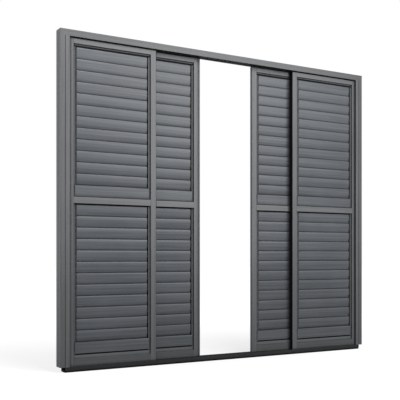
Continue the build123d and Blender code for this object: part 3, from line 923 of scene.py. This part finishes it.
for panel in PANELS:
    middle, track = middles[panel], tracks[panel]
    depths = track + STRIP_FRONT, track + STRIP_BACK
    beads = gather(crossbars(middle, OPENING_HALF, depths, BEADS, BEAD_EDGE))
    piece(f"{panel}_bead_bars", beads, panel, [f"{panel}_beads"], coat_bead)
    stops = crossbars(middle, STOP_END, (track + CHANNEL_BACK, track + STRIP_BACK), STOPS, LINER_EDGE)
    depths = track + STRIP_FRONT + SEAL_SETBACK, track + STRIP_BACK
    stops += crossbars(middle, OPENING_HALF, depths, SEALS, SEAL_EDGE)
    nodes = [f"{panel}_beads", f"{panel}_mid_rail"]
    piece(f"{panel}_light_stops", gather(stops), panel, nodes, black_nylon_and_shade)
print("beads", made["outer_left_bead_bars"], "stops", made["outer_left_light_stops"], "triangles")

# %% [markdown]
# ## Jambs
# A jamb is a channel: a web against the wall side, and a front flange, a fin and a back flange
# towards the panels. Where the jamb meets the casing there is a shadow gap, which draws the
# dark upright line beside the casing. The whole channel could be one section carried along Z,
# but then the fixing holes would need a Boolean. So the web is a plate carried along X, and its
# holes are true rings in its section.

# %% Web of a jamb, with its fixing holes
FRAME_FRONT, FRAME_BACK = -42.0, 42.0
JAMB_OUTER, WEB_INNER, WEB_EDGE = 1347.0, 1344.0, 0.3
SHADOW_GAP_DEPTH = 8.0
JAMB_LEVELS = (37.0, 2354.0)
HOLE_RADIUS, HOLE_PITCH, HOLE_POINTS, FRONT_TRACK = 3.5, 1500.0, 28, -15.0


def jamb_web(side):
    """Plate along X between the web's two faces, with two round holes in its section."""
    middle = sum(JAMB_LEVELS) / 2
    holes = [
        ellipse_ring(FRONT_TRACK, middle + offset, HOLE_RADIUS, HOLE_RADIUS, HOLE_POINTS)
        for offset in (-HOLE_PITCH / 2, HOLE_PITCH / 2)
    ]
    ring = rectangle_ring(FRAME_FRONT + SHADOW_GAP_DEPTH, FRAME_BACK, *JAMB_LEVELS, WEB_EDGE)
    return bar("X", *sorted([side * WEB_INNER, side * JAMB_OUTER]), ring, holes)


print("web", len(jamb_web(1)[3]), "triangles in its faces")

# %% Flanges of a jamb
JAMB_INNER, FRAME_WALL, FRONT_LIP, BACK_LIP = 1313.0, 2.5, -32.5, 38.5
FIN = (2.0, 4.0)
FLANGE_EDGE, FIN_EDGE = 0.8, 0.6


def jamb_flanges(side):
    """Front flange, back flange and fin carried along Z."""
    front = [(WEB_INNER, FRAME_FRONT), (JAMB_INNER, FRAME_FRONT), (JAMB_INNER, FRONT_LIP),
             (JAMB_INNER + FRAME_WALL, FRONT_LIP), (JAMB_INNER + FRAME_WALL, FRAME_FRONT + FRAME_WALL),
             (WEB_INNER - FRAME_WALL, FRAME_FRONT + FRAME_WALL), (WEB_INNER - FRAME_WALL, FRONT_LIP),
             (WEB_INNER, FRONT_LIP)]
    back = [(WEB_INNER, FRAME_BACK), (JAMB_INNER, FRAME_BACK), (JAMB_INNER, BACK_LIP),
            (JAMB_INNER + FRAME_WALL, BACK_LIP), (JAMB_INNER + FRAME_WALL, FRAME_BACK - FRAME_WALL),
            (WEB_INNER, FRAME_BACK - FRAME_WALL)]
    fin = [(WEB_INNER, FIN[0]), (JAMB_INNER, FIN[0]), (JAMB_INNER, FIN[1]), (WEB_INNER, FIN[1])]
    return [
        bar("Z", *JAMB_LEVELS, rounded_ring([(side * a, b) for a, b in outline], radius))
        for outline, radius in ((front, FLANGE_EDGE), (back, FLANGE_EDGE), (fin, FIN_EDGE))
    ]


SIDES = ("left", -1), ("right", 1)
for name, side in SIDES:
    jamb = gather([jamb_web(side)] + jamb_flanges(side))
    item = piece(f"{name}_jamb_profile", jamb, "frame", [f"{name}_jamb"], coat_upright)
    print(item.name, made[item.name], "triangles")

# %% [markdown]
# ## Jamb seals, painted shade
# The front flange's inner side carries a black seal that nearly touches the stile behind it. It
# shows as the black line beside the outer right panel, where its black is painted shade in
# that gap. A darker face on the flange could show it too, but a bar of its own also narrows the
# gap, as a seal has to.

# %% Seals of the jambs, black as painted shade
JAMB_SEAL_THICKNESS, JAMB_SEAL_DEPTHS = 1.5, (-40.8, -29.8)


def jamb_shade_seal(side):
    """Flat bar along Z on the inner side of the front flange, black as painted shade."""
    reach = sorted([side * JAMB_INNER, side * (JAMB_INNER - JAMB_SEAL_THICKNESS)])
    return bar("Z", *JAMB_LEVELS, rectangle_ring(*reach, *JAMB_SEAL_DEPTHS, SEAL_EDGE))


for name, side in SIDES:
    seal = jamb_shade_seal(side)
    item = piece(f"{name}_jamb_shade_seal", seal, "frame", [f"{name}_jamb"], black_nylon_and_shade)
    print(item.name, made[item.name], "triangles")

# %% [markdown]
# ## Wheels
# Each panel stands on two small rollers. Cylinders would do for wheels that hardly show, but a
# roller is turned, so its section is a ring of radius and width that goes round the axle: a
# flat tread, a recessed web and a hub.

# %% Turned wheels
WHEEL_RADIUS, WHEEL_HALF, WHEEL_EDGE = 11.0, 4.0, 0.3
BORE, HUB, RIM, RECESS = 2.6, 4.6, 8.8, 1.0
WHEEL_SECTION = [(BORE, -WHEEL_HALF), (HUB, -WHEEL_HALF), (HUB + RECESS, -WHEEL_HALF + RECESS),
                 (RIM - RECESS, -WHEEL_HALF + RECESS), (RIM, -WHEEL_HALF), (WHEEL_RADIUS, -WHEEL_HALF),
                 (WHEEL_RADIUS, WHEEL_HALF), (RIM, WHEEL_HALF), (RIM - RECESS, WHEEL_HALF - RECESS),
                 (HUB + RECESS, WHEEL_HALF - RECESS), (HUB, WHEEL_HALF), (BORE, WHEEL_HALF)]
WHEEL_STEPS = 48
for panel in PANELS:
    for side in ("left", "right"):
        node = f"{panel}_{side}_wheel"
        low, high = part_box(node)
        centre = (low + high) / 2 / MM
        shape = turned(rounded_ring(WHEEL_SECTION, WHEEL_EDGE), tuple(centre), WHEEL_STEPS)
        piece(f"{node}_turned", shape, node, [node], wheel_acetal)
print("wheel", made["outer_left_left_wheel_turned"], "triangles")

# %% [markdown]
# ## Buffers
# A soft block in the jamb stops each panel. A plain box could stand for it, but a moulded block
# has rounder edges than the metal round it, and looks soft because of them.

# %% Buffers
BUFFER_THICKNESS, BUFFER_WIDTH, BUFFER_EDGE = 4.0, 15.0, 2.0
low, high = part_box("buffers")
levels = low.z / MM, high.z / MM
blocks = []
for side in (-1, 1):
    reach = sorted([side * high.x / MM, side * (high.x / MM - BUFFER_THICKNESS)])
    for track in sorted(set(tracks.values())):
        ring = rectangle_ring(track - BUFFER_WIDTH / 2, track + BUFFER_WIDTH / 2, *levels, BUFFER_EDGE)
        blocks.append(bar("X", *reach, ring))
piece("buffer_blocks", gather(blocks), "frame", ["buffers"], soft_rubber)
print("buffers", len(blocks), "blocks", made["buffer_blocks"], "triangles")

# %% [markdown]
# ## Nodes that keep their shape
# The casings, the head, the sill, the brackets and the top guides could be made again as well,
# but they are prismatic with the right chamfers and holes already. So their nodes stay and only
# get their finish. The sill looks darker than the rest, and gets a much darker mix of the same
# coat as painted shade.

# %% Dress the CAD nodes
dress(["left_casing", "right_casing"], coat_casing)
dress(["head_casing", "head_track"], coat_head)
dress(["sill_track"], coat_sill)
dress([f"{panel}_carriages" for panel in PANELS], zinc_plate)
dress([f"{panel}_top_guides" for panel in PANELS], black_nylon_and_shade)

# %% [markdown]
# ## White surroundings
# The picture stands on white. A bright world would give that, but would also flood the
# shutters. So the Light Path node makes the world white where the camera or a reflection sees
# it, and dim where it lights things.

# %% World
SKY_COLOUR, SKY_STRENGTH, WHITE = (0.96, 0.98, 1.0, 1), 0.16, (1, 1, 1, 1)


def seen_directly(tree):
    """1 for camera, glossy and transmission rays, and 0 for the rays that light things."""
    path = tree.nodes.new("ShaderNodeLightPath")
    seen = calculate(tree, "MAXIMUM", path.outputs["Is Camera Ray"], path.outputs["Is Glossy Ray"])
    return calculate(tree, "MAXIMUM", seen, path.outputs["Is Transmission Ray"])


world = bpy.data.worlds.new("white_studio")
bpy.context.scene.world = world
world.use_nodes = True
tree = world.node_tree
lit = tree.nodes["Background"]
lit.inputs["Color"].default_value = SKY_COLOUR
lit.inputs["Strength"].default_value = SKY_STRENGTH
white = tree.nodes.new("ShaderNodeBackground")
white.inputs["Color"].default_value = WHITE
choose = tree.nodes.new("ShaderNodeMixShader")
tree.links.new(seen_directly(tree), choose.inputs[0])
tree.links.new(lit.outputs[0], choose.inputs[1])
tree.links.new(white.outputs[0], choose.inputs[2])
tree.links.new(choose.outputs[0], tree.nodes["World Output"].inputs["Surface"])
print(world.name, "strength", SKY_STRENGTH)

# %% [markdown]
# ## Floor
# The floor is white far away and a little grey beside the shutters, where their shadow lies. A
# lit white floor would clip and lose that shadow. So near the shutters a good part of the
# floor's brightness is lit and keeps it, and the floor's own glow is weaker there too, as a
# painted shadow, and takes over further off. The glow is measured in a flattened distance,
# because the shutters are wide. Little of the floor's light bounces back, as the picture is dark
# near the sill.

# %% The floor's material
# The glow is weaker near the shutters: a painted shadow on the floor
GLOW_DISTANCES, GLOW_LEVELS = (0.3, 2.8), (0.755, 0.98)
GLOW_FLATTENING = (0.55, 1.0, 0.0)
FLOOR_SHADE, FLOOR_BOUNCE = (0.3, 0.3, 0.3, 1), (0.08, 0.08, 0.08, 1)
floor_material = bpy.data.materials.new("pale_floor")
floor_material.use_nodes = True
tree = floor_material.node_tree
plain = tree.nodes["Principled BSDF"]
seen = seen_directly(tree)
tree.links.new(mix_colour(tree, seen, FLOOR_BOUNCE, FLOOR_SHADE), plain.inputs["Base Color"])
plain.inputs["Roughness"].default_value = 1.0
plain.inputs["Specular IOR Level"].default_value = 0.0
plain.inputs["Emission Color"].default_value = WHITE
flattened = tree.nodes.new("ShaderNodeVectorMath")
flattened.operation = "LENGTH"
tree.links.new(stretch(tree, object_place(tree), GLOW_FLATTENING), flattened.inputs[0])
glow = spread(tree, flattened.outputs["Value"], GLOW_DISTANCES, GLOW_LEVELS)
tree.links.new(calculate(tree, "MULTIPLY", seen, glow), plain.inputs["Emission Strength"])
print(floor_material.name, len(tree.nodes), "nodes")

# %% The floor
FLOOR_HALF, FLOOR_LEVEL = 40.0, -0.0005
corners = np.array([(-1, -1, 0), (1, -1, 0), (1, 1, 0), (-1, 1, 0)]) * FLOOR_HALF + [0, 0, FLOOR_LEVEL]
floor_mesh = bpy.data.meshes.new("floor")
floor_mesh.from_pydata(corners.tolist(), [], [(0, 1, 2, 3)])
floor_mesh.materials.append(floor_material)
floor = bpy.data.objects.new("floor", floor_mesh)
bpy.context.scene.collection.objects.link(floor)
floor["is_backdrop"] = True
print(floor.name, 2 * FLOOR_HALF, "m wide")

# %% [markdown]
# ## Lamps
# The picture is lit as in a studio, by large soft lamps. A sun would draw hard shadows. One
# softbox in front on the right gives the blades their sheen, one overhead makes the tops
# brighter than the foot, and one on the left lights the side of the casing.

# %% Softboxes
def soft_lamp(name, place, target, width, height, power):
    """Rectangular area lamp that faces a point."""
    data = bpy.data.lights.new(name, "AREA")
    data.shape, data.size, data.size_y, data.energy = "RECTANGLE", width, height, power
    lamp = bpy.data.objects.new(name, data)
    lamp.location = place
    lamp.rotation_euler = (Vector(target) - Vector(place)).to_track_quat("-Z", "Y").to_euler()
    lamp.visible_camera = False
    bpy.context.scene.collection.objects.link(lamp)
    print(name, power, "watts")


soft_lamp(
    "front_right_softbox", place=(3.1, -6.4, 3.2), target=(-0.1, 0, 2.9), width=3.7, height=3.9, power=262.0)
soft_lamp(
    "overhead_softbox", place=(-0.2, -3.3, 5.2), target=(-0.2, 0, 2.1), width=2.2, height=1.4, power=190.0)
soft_lamp(
    "left_softbox", place=(-6.3, -2.5, 3.5), target=(-1.0, 0, 2.1), width=1.4, height=1.6, power=108.0)

# %% [markdown]
# ## Camera
# The uprights of the picture are parallel. A camera tilted up would make them meet, so this one
# looks level and the frame is lifted with a shift, as on a view camera. Its place and focal
# length come from the two vanishing points and the known height of the frame.

# %% Place the camera
FOCAL_PIXELS, IMAGE_PIXELS, HORIZON_ROW, SENSOR = 742.0, 400.0, 255.9, 36.0
CAMERA_PLACE, CAMERA_TURN = (-3.121, -4.984, 0.815), math.radians(-30.04)
# A camera without a turn looks straight down, and a quarter turn brings it level
LEVEL = math.pi / 2
camera_data = bpy.data.cameras.new("camera")
camera_data.sensor_width = SENSOR
camera_data.lens = FOCAL_PIXELS / IMAGE_PIXELS * SENSOR
camera_data.shift_y = (HORIZON_ROW - IMAGE_PIXELS / 2) / IMAGE_PIXELS
camera = bpy.data.objects.new("camera", camera_data)
camera.location = CAMERA_PLACE
camera.rotation_euler = (LEVEL, 0, CAMERA_TURN)
bpy.context.scene.collection.objects.link(camera)
bpy.context.scene.camera = camera
bpy.context.scene.view_settings.view_transform = "Standard"
print("lens", round(camera_data.lens, 2), "shift", round(camera_data.shift_y, 4))

# %% [markdown]
# ## Measure the size and finish
# The dressed shutters have to stay in the box of the imported solids. That could be judged by
# eye, but a measure is surer, so the box of the dressed shutters is measured before the scene
# is finished.

# %% Measure the box and finish
low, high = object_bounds()
print("triangles of the new pieces", sum(made.values()))
